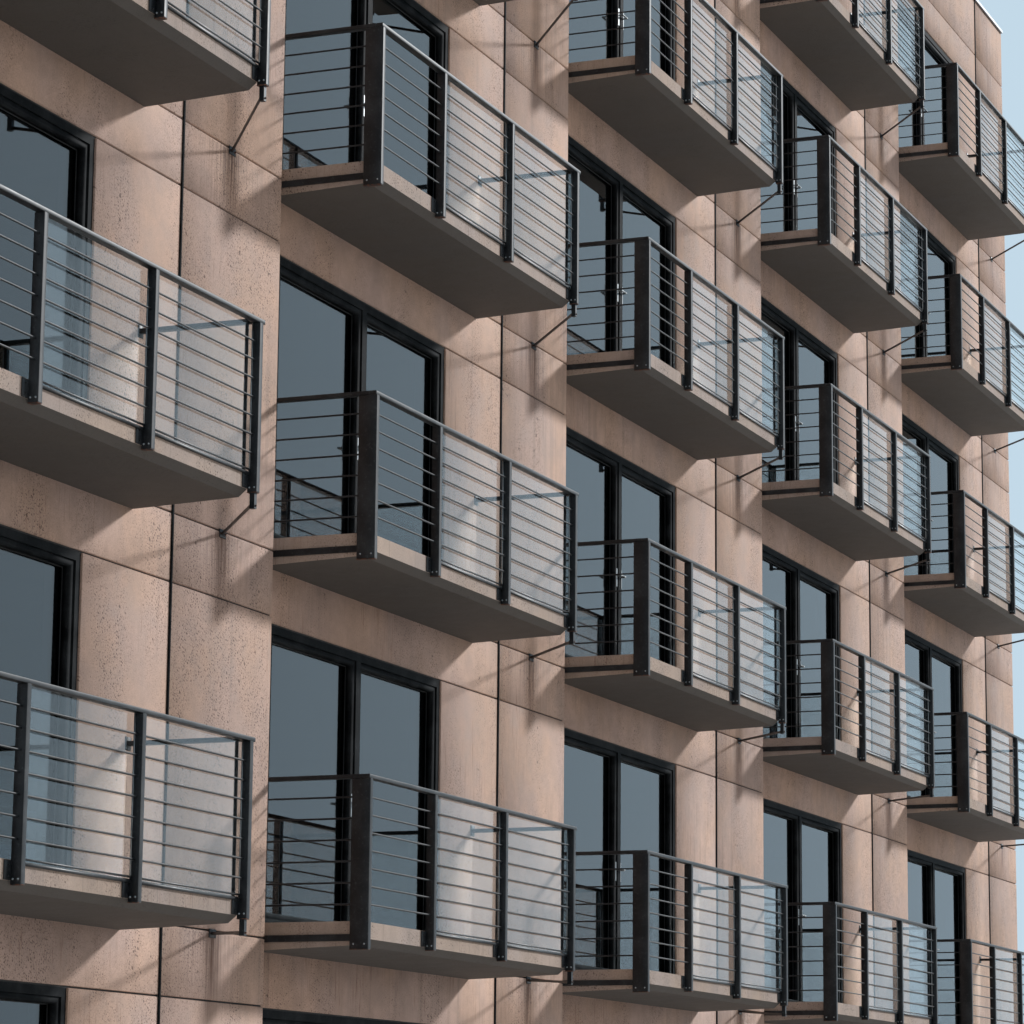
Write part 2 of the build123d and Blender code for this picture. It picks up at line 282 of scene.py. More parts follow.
def hex_bolt(size, height, axis):
    """A hexagonal head on a round washer, with the head's rim bevelled: a six-point ring drawn in by a tenth at its
    top. It starts at the origin and points along the axis, such as (0, -1, 0)."""
    def ring(radius, level, sides):
        return circle(int(np.argmax(np.abs(axis))), radius, sides, 0.5) + np.array(axis) * level

    washer = [ring(size, 0, 12), ring(size, height * 0.2, 12)]
    head = [ring(size * 0.62, height * 0.2, 6), ring(size * 0.62, height * 0.85, 6), ring(size * 0.54, height, 6)]
    return joined([lofted(washer), lofted(head)])


# Pieces. Each finish is a material's name and the record's slot

CONCRETE = "precast_concrete_fair_faced", "concrete"
BALCONY = "precast_concrete_balcony", "balcony_concrete"
SEALANT = "polysulphide_sealant_grey", "concrete"
MEMBRANE = "bitumen_membrane_slate_grit", "concrete"
SHEET_METAL = "aluminium_mill_finish_folded", "aluminium"
FRAME = "aluminium_coated_anthracite", "dark_frame"
GASKET = "epdm_gasket_black", "dark_frame"
HANDLE = "stainless_steel_satin", "dark_frame"
STEEL = "steel_powder_coated_anthracite", "dark_steel"
RUSTED = "mild_steel_rusted", "dark_steel"
BRIGHT = "stainless_steel_satin", "dark_steel"
DOOR_GLASS = "float_glass_insulating", "glass"
RAILING_GLASS = "laminated_glass_clear", "railing_glass"


def mesh_object(name, form, material):
    """Put a shell into a mesh object with one material, and link it to the scene."""
    points, corners, counts = form
    mesh = bpy.data.meshes.new(name)
    mesh.vertices.add(len(points))
    mesh.vertices.foreach_set("co", points.astype(np.float32).ravel())
    mesh.loops.add(len(corners))
    mesh.loops.foreach_set("vertex_index", corners.astype(np.int32))
    mesh.polygons.add(len(counts))
    mesh.polygons.foreach_set("loop_start", (np.cumsum(counts) - counts).astype(np.int32))
    mesh.update(calc_edges=True)
    mesh.validate()
    mesh.materials.append(material)
    made = bpy.data.objects.new(name, mesh)
    bpy.context.scene.collection.objects.link(made)
    return made


def add_piece(name, parts, finish, *nodes, places=((0, 0, 0),), smooth=0.0):
    """One piece from its parts, set at every place. It rides on the block and stands for the nodes."""
    piece = mesh_object(name, repeated(joined(parts), places), finishes()[finish[0]])
    if smooth:
        piece.data.shade_smooth()
        piece.data.set_sharp_from_angle(angle=math.radians(smooth))
    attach(piece, "root")
    if nodes:
        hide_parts(*nodes)


def dress(finish, *nodes):
    """Give CAD nodes a material in place of their plain one."""
    for name in nodes:
        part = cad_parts[name]
        part.data.materials.clear()
        part.data.materials.append(finishes()[finish[0]])


def numbered(name):
    """The names of a node that comes once for each bay."""
    return [f"{name}_{number + 1}" for number in range(BAYS)]


# Places that follow from the sizes

class Layout:
    """Where the bays, storeys and balconies are."""

    def __init__(self, s):
        self.s = s
        self.levels = np.arange(STOREYS)
        self.lefts = s.row_left + np.arange(BAYS) * s.bay_width
        self.fronts = s.first_front + np.arange(BAYS) * s.bay_step
        self.backs = self.fronts + s.block_depth
        self.floors = s.ground_floor + self.levels * s.storey_height
        self.roof = s.ground_floor + STOREYS * s.storey_height
        self.parapet_top = self.roof + s.parapet_rise
        self.base_top = s.ground_floor - s.panel_foot_drop
        self.seams = self.base_top + np.arange(STOREYS + 1) * s.storey_height
        self.split = s.pier_width + s.door_width + s.narrow_panel_width
        # Foot and top of each storey's panels over its floor, and of the parapet's over the ground
        self.half_joint = s.panel_joint / 2
        self.panel_rows = np.array([(self.half_joint if level else 0, s.storey_height - self.half_joint)
                                    for level in self.levels]) - s.panel_foot_drop
        self.parapet_rows = self.roof - s.panel_foot_drop + self.half_joint, self.parapet_top
        # A back window from left and foot to right and top, in its bay and storey
        left = (s.bay_width - s.window_width) / 2
        self.window = left, s.window_sill, left + s.window_width, s.window_sill + s.window_height
        # Each end wall's outer X, outward direction, and Y range between the walls that it joins
        right = s.row_left + BAYS * s.bay_width
        self.ends = [(face, way, self.fronts[bay] + s.wall_thickness, self.backs[bay] - s.wall_thickness)
                     for bay, face, way in ((0, s.row_left, -1), (-1, right, 1))]
        # The railing seen from its balcony's left corner at the wall, and each post's middle, back and foot
        self.slab_face = -s.balcony_depth
        self.rail_front = self.slab_face - s.post_depth
        self.rail_middle = self.slab_face - s.post_depth / 2
        self.end_post = s.balcony_length + s.post_width / 2
        self.posts = [(-s.post_width / 2, self.rail_front + s.corner_post_depth, -s.corner_post_drop)]
        self.posts += [(x, self.slab_face, -s.post_drop)
                       for x in (s.second_post, s.third_post, self.end_post)]

    def places(self, x, levels, y=0.0):
        """Points at (bay left + x, bay front + y, floor) for every bay and level."""
        lefts, floors = np.meshgrid(self.lefts + x, self.floors[levels], indexing="ij")
        fronts = np.repeat(self.fronts[:, None] + y, len(levels), 1)
        return np.stack([lefts, fronts, floors], -1).reshape(-1, 3)

    def balconies(self):
        """The wall-side left corner of each balcony slab's top."""
        return self.places(self.s.balcony_start, self.levels[1:])


def layout():
    """The layout from the scene's sizes, and the sizes."""
    sizes = bpy.context.scene.block_sizes
    return Layout(sizes), sizes


# Materials

def node(tree, kind, *values, out=None, **named):
    """Add a shader node. The kind may end with its operation or data type. The values fill its inputs in order, names
    with a capital are other inputs, and the rest are settings; an input takes a value or a link. Map Range takes
    value, from low, from high, to low, to high."""
    kind, *mode = kind.split()
    made = tree.nodes.new("ShaderNode" + kind)
    if mode:
        setattr(made, "operation" if kind == "Math" else "data_type", mode[0])
    for key in [key for key in named if key.islower()]:
        setattr(made, key, named.pop(key))
    pairs = list(zip([socket for socket in made.inputs if socket.enabled], values))
    for socket, value in pairs + [(made.inputs[key.replace("_", " ")], named[key]) for key in named]:
        if isinstance(value, bpy.types.NodeSocket):
            tree.links.new(value, socket)
        else:
            socket.default_value = (*value, 1.0) if socket.type == "RGBA" else value
    if out:
        return made.outputs[out]
    return next((socket for socket in made.outputs if socket.enabled), None)


def blank(name):
    """A material with an empty tree, and the Object coordinates that its patterns follow."""
    material = bpy.data.materials.new(name)
    material.use_nodes = True
    tree = material.node_tree
    tree.nodes.clear()
    return tree, node(tree, "TexCoord", out="Object")


def noise(tree, position, scale, detail, *levels, roughness=0.5):
    """Noise of one scale, or of one along each axis. The levels are Map Range's: from low, from high, to low, to
    high, where the last two are 0 and 1 unless given."""
    if isinstance(scale, tuple):
        position, scale = node(tree, "Mapping", position, Scale=scale), 1.0
    cloud = node(tree, "TexNoise", position, Scale=scale, Detail=detail, Roughness=roughness)
    return node(tree, "MapRange", cloud, *levels)


def air_holes(tree, plane, spacing, radius, density):
    """Round pits in a plane: 1 within a radius of each point of a plane Voronoi pattern with cells of the given
    spacing. The radius grows from 0 to its full size with the cell's random value and with the local density."""
    near = node(tree, "TexVoronoi", plane, Scale=1 / spacing, voronoi_dimensions="2D")
    chance = near.node.outputs["Color"]
    share = radius / spacing
    size = node(tree, "MapRange", chance, 0.3, 0.8, 0.0, share)
    size = node(tree, "Math MULTIPLY", size, density)
    inside = node(tree, "Math SUBTRACT", size, near)
    return node(tree, "MapRange", inside, 0.0, share * 0.3)


def cast_concrete(tree, position, base, dark, rust, weather):
    """Concrete cast against steel moulds: smooth and matt, cloudy in tone, pitted with air holes of 3 to 20 mm, and
    washed by rain into upright stains. Returns its colour, roughness and normal."""
    # Clouds 1.4 m wide, mottling 0.16 m wide, and sand of 2 mm drawn at 8 mm so that it shows
    clouds = node(tree, "TexNoise", position, Scale=0.7, Detail=3.0)
    mottle = node(tree, "TexNoise", position, Scale=6.0, Detail=6.0, Roughness=0.66)
    sand = node(tree, "TexNoise", position, Scale=120.0, Detail=2.0)
    tone = node(tree, "MapRange", clouds, 0.32, 0.68, 0.84, 1.08)
    mottled = node(tree, "MapRange", mottle, 0.3, 0.7, 0.83, 1.1)
    sandy = node(tree, "MapRange", sand, 0.3, 0.7, 0.9, 1.08)
    tone = node(tree, "Math MULTIPLY", tone, mottled)
    tone = node(tree, "Math MULTIPLY", tone, sandy)
    # Pigment drifts warm and cool over 0.8 m
    drift = noise(tree, position, 1.25, 2.0, 0.38, 0.62)
    tint = node(tree, "Mix RGBA", drift, (1.03, 0.99, 0.94), (0.97, 0.98, 1.02))
    skin = node(tree, "Mix RGBA", 1.0, tint, base, blend_type="MULTIPLY")
    skin = node(tree, "Mix RGBA", 1.0, skin, tone, blend_type="MULTIPLY")
    # Rain stains 70 mm wide and metres long, in patches of 2 m
    runs = noise(tree, position, (14.0, 14.0, 0.55), 5.0, 0.52, 0.72, 0.0, 0.35 * weather, roughness=0.6)
    patches = noise(tree, position, 0.45, 2.0, 0.4, 0.6)
    stain = node(tree, "Math MULTIPLY", runs, patches)
    skin = node(tree, "Mix RGBA", stain, skin, dark)
    # Air holes crowd together in upright bands 0.4 m wide: small ones 24 mm apart, and large ones 160 mm apart
    crowd = noise(tree, position, (2.6, 2.6, 0.9), 3.0, 0.38, 0.62, 0.25, 1.45)
    # The plane's coordinates are x + y and z + (x - y) / 3, which suit walls that face any way, and slabs
    x, y, z = node(tree, "SeparateXYZ", position).node.outputs
    across = node(tree, "Math ADD", x, y)
    slant = node(tree, "Math SUBTRACT", x, y)
    along = node(tree, "Math MULTIPLY_ADD", slant, 0.33, z)
    plane = node(tree, "CombineXYZ", across, along)
    small = air_holes(tree, plane, 0.024, 0.005, crowd)
    large = air_holes(tree, plane, 0.16, 0.0095, crowd)
    holes = node(tree, "Math MAXIMUM", small, large)
    # Between them, pores too fine to draw one by one: speckles 12 mm wide
    pores = noise(tree, position, 80.0, 3.0, 0.53, 0.67, 0.0, 0.55, roughness=0.7)
    pores = node(tree, "Math MULTIPLY", pores, crowd)
    shade = node(tree, "Math MULTIPLY_ADD", holes, 0.75, pores)
    shade = node(tree, "Math MINIMUM", shade, 0.85)
    pit = tuple(a * 0.25 + b * 0.3 for a, b in zip(dark, rust))
    skin = node(tree, "Mix RGBA", shade, skin, pit)
    # Rust from iron specks in the sand, in threads 20 mm wide
    threads = noise(tree, position, (46.0, 46.0, 2.6), 6.0, 0.56, 0.68, 0.0, 0.55 * weather, roughness=0.7)
    places = noise(tree, position, 0.9, 2.0, 0.46, 0.6)
    rusty = node(tree, "Math MULTIPLY", threads, places)
    skin = node(tree, "Mix RGBA", rusty, skin, rust)
    rough = node(tree, "MapRange", mottle, 0.3, 0.7, 0.72, 0.88)
    raised = node(tree, "Math MULTIPLY", sand, 0.15)
    raised = node(tree, "Math SUBTRACT", raised, holes)
    normal = node(tree, "Bump", Height=raised, Strength=0.6, Distance=0.004)
    return skin, rough, normal


def wall_concrete():
    """Precast panel concrete of the walls, with rust that runs down below each stay's anchor."""
    colours = bpy.context.scene.block_colours
    s = bpy.context.scene.block_sizes
    tree, position = blank(CONCRETE[0])
    x, _, z = node(tree, "SeparateXYZ", position).node.outputs
    rust, dark = colours.rust, colours.concrete_dark
    skin, rough, normal = cast_concrete(tree, position, colours.concrete, dark, rust, 1.0)
    # Across from the anchor and down from it, the same in each bay and storey
    anchor_x = s.row_left + s.balcony_start + s.balcony_length + s.post_width / 2 + s.stay_reach
    anchor_z = s.ground_floor - s.anchor_drop
    wobble = noise(tree, position, 3.0, 3.0, 0.0, 1.0, -anchor_x - 0.05, 0.05 - anchor_x)
    aside = node(tree, "Math ADD", x, wobble)
    aside = node(tree, "Math WRAP", aside, s.bay_width / 2, -s.bay_width / 2)
    aside = node(tree, "Math ABSOLUTE", aside)
    below = node(tree, "Math SUBTRACT", anchor_z, z)
    below = node(tree, "Math WRAP", below, s.storey_height, 0.0)
    # A streak 0.12 m wide that fades out 0.65 m below the anchor, in fibres of 18 mm
    fibres = noise(tree, position, (55.0, 55.0, 1.6), 5.0, 0.42, 0.6, roughness=0.7)
    narrow = node(tree, "MapRange", aside, 0.01, 0.13, 1.0, 0.0)
    fade = node(tree, "MapRange", below, 0.02, 0.65, 1.0, 0.0)
    streak = node(tree, "Math MULTIPLY", narrow, fade)
    streak = node(tree, "Math MULTIPLY", streak, fibres)
    skin = node(tree, "Mix RGBA", streak, skin, rust)
    # Brown water marks 0.7 m wide and 0.6 m long under the slab's end
    wide = node(tree, "MapRange", aside, 0.1, 0.8, 0.7, 0.0)
    marks = node(tree, "Math MULTIPLY", wide, fade)
    marks = node(tree, "Math MULTIPLY", marks, fibres)
    brown = tuple((a + b) / 2 for a, b in zip(rust, dark))
    skin = node(tree, "Mix RGBA", marks, skin, brown)
    shader = node(tree, "BsdfPrincipled", Base_Color=skin, Roughness=rough, Normal=normal, IOR=1.5,
                  Specular_IOR_Level=0.35)
    node(tree, "OutputMaterial", shader)


def slab_concrete():
    """Balcony concrete, cast in board-lined moulds: fine upright seams on its edge, and painted shade on faces turned
    downwards.
    """
    colours = bpy.context.scene.block_colours
    tree, position = blank(BALCONY[0])
    dark = colours.concrete_dark
    skin, rough, normal = cast_concrete(tree, position, colours.slab, dark, colours.rust, 0.8)
    # Seams 5 mm wide between mould boards of 0.47 m
    x = node(tree, "SeparateXYZ", position, out="X")
    seam = node(tree, "Math WRAP", x, 0.235, -0.235)
    seam = node(tree, "Math ABSOLUTE", seam)
    seam = node(tree, "MapRange", seam, 0.002, 0.004, 0.55, 0.0)
    skin = node(tree, "Mix RGBA", seam, skin, dark)
    # Painted shade: faces that turn downwards darken towards the underside colour, up to nine tenths
    facing = node(tree, "NewGeometry", out="Normal")
    facing = node(tree, "SeparateXYZ", facing, out="Z")
    under = node(tree, "MapRange", facing, -0.2, -0.6, 0.0, 0.9)
    skin = node(tree, "Mix RGBA", under, skin, colours.underside_painted_shade)
    shader = node(tree, "BsdfPrincipled", Base_Color=skin, Roughness=rough, Normal=normal, IOR=1.5,
                  Specular_IOR_Level=0.35)
    node(tree, "OutputMaterial", shader)


def coated_metal(name, base, worn, roughness, wear, sheen):
    """Baked powder coat: satin, with orange peel of 3 mm, dusty in clouds of 0.2 m, and scuffed in marks of 25 mm."""
    tree, position = blank(name)
    dust = node(tree, "TexNoise", position, Scale=5.0, Detail=5.0, Roughness=0.6)
    dusty = node(tree, "MapRange", dust, 0.42, 0.75, 0.0, 0.12)
    skin = node(tree, "Mix RGBA", dusty, base, worn)
    scuffs = noise(tree, position, 40.0, 4.0, 0.58, 0.7, 0.0, wear, roughness=0.7)
    skin = node(tree, "Mix RGBA", scuffs, skin, worn)
    rough = node(tree, "MapRange", dust, 0.3, 0.7, roughness - 0.06, roughness + 0.1)
    peel = node(tree, "TexNoise", position, Scale=330.0, Detail=1.0)
    normal = node(tree, "Bump", Height=peel, Strength=0.15, Distance=0.0004)
    shader = node(tree, "BsdfPrincipled", Base_Color=skin, Roughness=rough, Normal=normal, IOR=1.5,
                  Specular_IOR_Level=sheen)
    node(tree, "OutputMaterial", shader)


def rusted_steel():
    """Mild steel whose coat has failed: brown rust in patches of 20 mm over dark grey mill scale, rough and matt."""
    colours = bpy.context.scene.block_colours
    tree, position = blank(RUSTED[0])
    patches = node(tree, "TexNoise", position, Scale=50.0, Detail=5.0, Roughness=0.65)
    rusty = node(tree, "MapRange", patches, 0.42, 0.6)
    tone = noise(tree, position, 9.0, 3.0, 0.35, 0.65, 0.65, 1.2)
    brown = node(tree, "Mix RGBA", 1.0, colours.rust, tone, blend_type="MULTIPLY")
    skin = node(tree, "Mix RGBA", rusty, colours.steel, brown)
    rough = node(tree, "MapRange", patches, 0.35, 0.65, 0.5, 0.9)
    normal = node(tree, "Bump", Height=patches, Strength=0.5, Distance=0.001)
    shader = node(tree, "BsdfPrincipled", Base_Color=skin, Roughness=rough, Normal=normal)
    node(tree, "OutputMaterial", shader)


def float_glass(name, tint, lamp_tint, sheen, coat):
    """Float glass: clear, flat and hard, with an IOR of 1.52, and a film of dust in clouds of 0.3 m. A coat stands
    for the second pane and its low-emission film, which send back more sky. Lamp light passes straight through."""
    tree, position = blank(name)
    dust = noise(tree, position, 3.0, 5.0, 0.4, 0.75, 0.0, 0.5, roughness=0.6)
    body = node(tree, "Mix RGBA", dust, tint, scaled(tint, 0.94))
    body = node(tree, "BsdfPrincipled", Base_Color=body, Transmission_Weight=1.0, IOR=1.52, Roughness=0.0,
                Specular_IOR_Level=sheen, Coat_Weight=coat, Coat_IOR=1.9, Coat_Roughness=0.0)
    lamp_ray = node(tree, "LightPath", out="Is Shadow Ray")
    clear = node(tree, "BsdfTransparent", Color=lamp_tint)
    shader = node(tree, "MixShader", lamp_ray, body, clear)
    node(tree, "OutputMaterial", shader)


def drifting(name, base, second, scale, roughness, metallic, bump_depth):
    """A finish whose tone and roughness drift with noise of the given scale, over a bump twelve times finer."""
    tree, position = blank(name)
    drift = node(tree, "TexNoise", position, Scale=scale, Detail=5.0, Roughness=0.6)
    share = node(tree, "MapRange", drift, 0.35, 0.7)
    skin = node(tree, "Mix RGBA", share, base, second)
    rough = node(tree, "MapRange", drift, 0.3, 0.7, roughness - 0.05, roughness + 0.08)
    fine = node(tree, "TexNoise", position, Scale=scale * 12, Detail=3.0)
    normal = node(tree, "Bump", Height=fine, Strength=0.4, Distance=bump_depth)
    shader = node(tree, "BsdfPrincipled", Base_Color=skin, Roughness=rough, Normal=normal, Metallic=metallic)
    node(tree, "OutputMaterial", shader)


def painted_floor():
    """Painted screed for the stage: matt, with its tone drifting a little over 3 m."""
    base = bpy.context.scene.block_colours.floor
    tree, position = blank("painted_floor_matt")
    drift = node(tree, "TexNoise", position, Scale=0.3, Detail=2.0)
    tone = node(tree, "Mix RGBA", drift, scaled(base, 0.97), base)
    shader = node(tree, "BsdfPrincipled", Base_Color=tone, Roughness=0.9, Specular_IOR_Level=0.2)
    node(tree, "OutputMaterial", shader)


def scaled(values, factor):
    """A colour made lighter or darker."""
    return tuple(min(1.0, v * factor) for v in values)


def finishes():
    """All the block's materials, made once."""
    if CONCRETE[0] not in bpy.data.materials:
        colours = bpy.context.scene.block_colours
        worn, sealant = colours.steel_worn, colours.sealant
        membrane, aluminium = colours.membrane, colours.aluminium
        wall_concrete()
        slab_concrete()
        coated_metal(STEEL[0], colours.steel, worn, 0.4, 0.14, 0.3)
        coated_metal(FRAME[0], colours.door_frame, worn, 0.55, 0.04, 0.03)
        rusted_steel()
        # Painted shade: the door glass body is tinted much darker than real glass, so that rooms look dark
        # Insulating glass has a grey-blue body; laminated railing glass is almost clear
        float_glass(DOOR_GLASS[0], colours.door_glass, linear("#8C9DA6"), 0.5, 0.35)
        float_glass(RAILING_GLASS[0], colours.railing_glass, linear("#EDF3F4"), 0.2, 0.0)
        # Sealant is cured rubber: matt, with the tool's ripples of 7 mm
        drifting(SEALANT[0], sealant, scaled(sealant, 0.7), 12.0, 0.7, 0.0, 0.0006)
        # Gaskets are extruded rubber: black, soft in sheen
        drifting(GASKET[0], linear("#141516"), linear("#1D1F20"), 30.0, 0.6, 0.0, 0.0003)
        # Bitumen sheet is strewn with slate grit: grey, matt and grainy, cloudy over 1 m
        drifting(MEMBRANE[0], membrane, scaled(membrane, 0.72), 0.9, 0.85, 0.0, 0.002)
        # Folded aluminium sheet weathers to a dull grey with cloudy gloss
        drifting(SHEET_METAL[0], aluminium, scaled(aluminium, 0.8), 4.0, 0.42, 1.0, 0.0002)
        # Stainless steel brushed to a satin gloss
        drifting(BRIGHT[0], linear("#A5A7A8"), linear("#8F9294"), 25.0, 0.35, 1.0, 0.0001)
        painted_floor()
    return bpy.data.materials


# Operators

class BLOCK_OT_walls(bpy.types.Operator):
    """Precast wall panels with bevelled arrises on all four sides, and the concrete of floors and base"""
    bl_idname = "block.walls"
    bl_label = "Walls and floors"

    def street_panels(self, place, s):
        """Panels beside and over the doors, and the parapet's."""
        narrow = s.pier_width + s.door_width, place.split - place.half_joint
        over = s.pier_width, place.split - place.half_joint
        wide = place.split + place.half_joint, s.bay_width
        sets = []
        for level, (foot, top) in enumerate(place.panel_rows):
            wall = foot, s.door_head - place.half_joint
            band = s.door_head + place.half_joint, top
            sets.append(([(narrow, wall), (wide, wall), (over, band), (wide, band)], place.places(0, [level])))
        sets.append(([(over, place.parapet_rows), (wide, place.parapet_rows)], place.places(0, [0]) * (1, 1, 0)))
        return [repeated(joined([block(width, (0, s.wall_thickness), rows, radius=s.panel_chamfer)
                                 for width, rows in panels]), places)
                for panels, places in sets]

    def back_panels(self, place, s):
        """Storey-high panels with a window opening, and the parapet's."""
        left, right = place.half_joint, s.bay_width - place.half_joint
        thick, bevel = s.wall_thickness, s.panel_chamfer
        section = [(0, 0, -thick), (0, 0, -bevel), (0, bevel, 0), (1, -bevel, 0), (1, 0, -bevel), (1, 0, -thick)]
        panels = [repeated(rim((left, foot, right, top), place.window, section),
                           place.places(0, [level], s.block_depth))
                  for level, (foot, top) in enumerate(place.panel_rows)]
        parapet = block((left, right), (-thick, 0), place.parapet_rows, radius=bevel)
        return panels + [repeated(parapet, place.places(0, [0], s.block_depth) * (1, 1, 0))]

    def end_panels(self, place, s):
        """Three panels to a storey on each end wall."""
        rows = np.vstack([place.floors[:, None] + place.panel_rows, place.parapet_rows])
        panels = []
        for face, way, start, stop in place.ends:
            edges = np.linspace(start, stop, END_PANELS + 1)
            lows, highs = edges[:-1].copy(), edges[1:].copy()
            lows[1:] += place.half_joint
            highs[:-1] -= place.half_joint
            wall = sorted((face, face - way * s.wall_thickness))
            panels += [block(wall, depth, row, radius=s.panel_chamfer) for row in rows for depth in zip(lows, highs)]
        return panels

    def execute(self, context):
        place, s = layout()
        add_piece("street_wall_panels", self.street_panels(place, s), CONCRETE, *numbered("facade_panels_bay"))
        add_piece("back_wall_panels", self.back_panels(place, s), CONCRETE, *numbered("back_wall_bay"))
        add_piece("end_wall_panels", self.end_panels(place, s), CONCRETE, "left_party_wall", "right_party_wall")
        dress(CONCRETE, "facade_piers", "base_slab", "ground_floor_slab", "upper_floor_slabs", "roof_slab")
        dress(BALCONY, *numbered("balcony_slabs_bay"))
        return {"FINISHED"}


class BLOCK_OT_joints(bpy.types.Operator):
    """Sealant in the panel joints, drawn in from the wall face and hollowed, and covers on the upright joints"""
    bl_idname = "block.joints"
    bl_label = "Joint sealant"

    def bead(self, start, stop, outward):
        """A bead along one axis. Its face is y = r + h (1 - (2 u / w)^2), a shallow hollow across the joint."""
        width, recess, hollow, body = 0.014, 0.018, 0.003, 0.035
        inward = int(np.argmax(np.abs(outward)))
        across = 3 - inward - int(np.argmax(np.abs(np.subtract(stop, start))))
        shares = np.linspace(-1, 1, 5)
        profile = np.zeros((7, 3))
        profile[:, across] = np.append(shares, (1, -1)) * width / 2
        profile[:, inward] = np.append(recess + hollow * (1 - shares ** 2), (body, body)) * -outward[inward]
        return swept(profile, start, stop)

    def execute(self, context):
        place, s = layout()
        street, garden = (0, -1, 0), (0, 1, 0)
        foot, top = place.base_top, place.parapet_top - 0.002
        beads, covers = [], []
        for x, y, back in zip(place.lefts, place.fronts, place.backs):
            left, right = x + s.pier_width, x + s.bay_width
            split = x + place.split
            covers.append(block(span(split, 0.012), (y - 0.011, y + 0.003), (foot + 0.01, top)))
            beads.append(self.bead((split, y, foot), (split, y, top), street))
            for level, seam in enumerate(place.seams):
                if level:
                    beads.append(self.bead((left, y, seam), (right - 0.002, y, seam), street))
                    beads.append(self.bead((x, back, seam), (right, back, seam), garden))
                if level < STOREYS:
                    lintel = place.floors[level] + s.door_head
                    beads.append(self.bead((left, y, lintel), (right - 0.002, y, lintel), street))
            if x < place.lefts[-1]:
                beads.append(self.bead((right, back, foot), (right, back, top), garden))
        for x, way, start, stop in place.ends:
            beads += [self.bead((x, start, seam), (x, stop, seam), (way, 0, 0)) for seam in place.seams[1:]]
            beads += [self.bead((x, y, foot), (x, y, top), (way, 0, 0))
                      for y in np.linspace(start, stop, END_PANELS + 1)[1:-1]]
        add_piece("panel_joint_sealant", beads, SEALANT, smooth=40)
        add_piece("upright_joint_covers", covers, FRAME)
        return {"FINISHED"}


class BLOCK_OT_roof(bpy.types.Operator):
    """Roof membrane with welded laps and upstands, and folded metal caps on every parapet"""
    bl_idname = "block.roof"
    bl_label = "Roof"

    def execute(self, context):
        place, s = layout()
        thick, roof = s.wall_thickness, place.roof
        upstand = roof, roof + 0.35
        lap, lap_width, lap_spacing = (roof + 0.006, roof + 0.012), 0.1, 1.0
        # Folded cap: a flat top with both edges turned down 32 mm
        fold = place.parapet_top, place.parapet_top + 0.032
        # A cant strip is a right triangle of 70 mm with its long side turned to the roof
        cant = np.array([(0, 0, 0), (0, 0.07, 0), (0, 0, 0.07)])
        sheets, laps, cants, caps = [], [], [], []
        for x, y, outer in zip(place.lefts, place.fronts, place.backs):
            first, last = x == place.lefts[0], x == place.lefts[-1]
            left = x + (thick if first else 0)
            right = x + s.bay_width - (thick if last else 0)
            front, back = y + thick, outer - thick
            for depth, rows in (((front, back), (roof, roof + 0.008)), ((front, front + 0.006), upstand),
                                ((back - 0.006, back), upstand)):
                sheets.append(block((left, right), depth, rows, radius=0.002))
            laps += [block((start, start + lap_width), (front + 0.05, back - 0.05), lap, axis="y", radius=0.002)
                     for start in np.arange(left + 0.5, right - 0.2, lap_spacing)]
            for profile, edge in ((cant, front), (cant * (1, -1, 1), back)):
                cants.append(swept(profile, (left, edge, roof + 0.007), (right, edge, roof + 0.007)))
            cap_right = x + s.bay_width - (0 if last else s.panel_joint)
            caps.append(block((x, cap_right), (back, outer), fold, axis="x", radius=0.004, steps=2))
        for face, way, start, stop in place.ends:
            inner = face - way * thick
            caps.append(block(sorted((face, inner)), (start + 0.002, stop - 0.002), fold, axis="y", radius=0.004,
                              steps=2))
            sheets.append(block(sorted((inner, inner - way * 0.006)), (start, stop - 0.002), upstand, radius=0.002))
        add_piece("roof_membrane", sheets + laps + cants, MEMBRANE)
        add_piece("parapet_caps_sides_and_back", caps, SHEET_METAL, smooth=40)
        dress(SHEET_METAL, "parapet_copings")
        return {"FINISHED"}


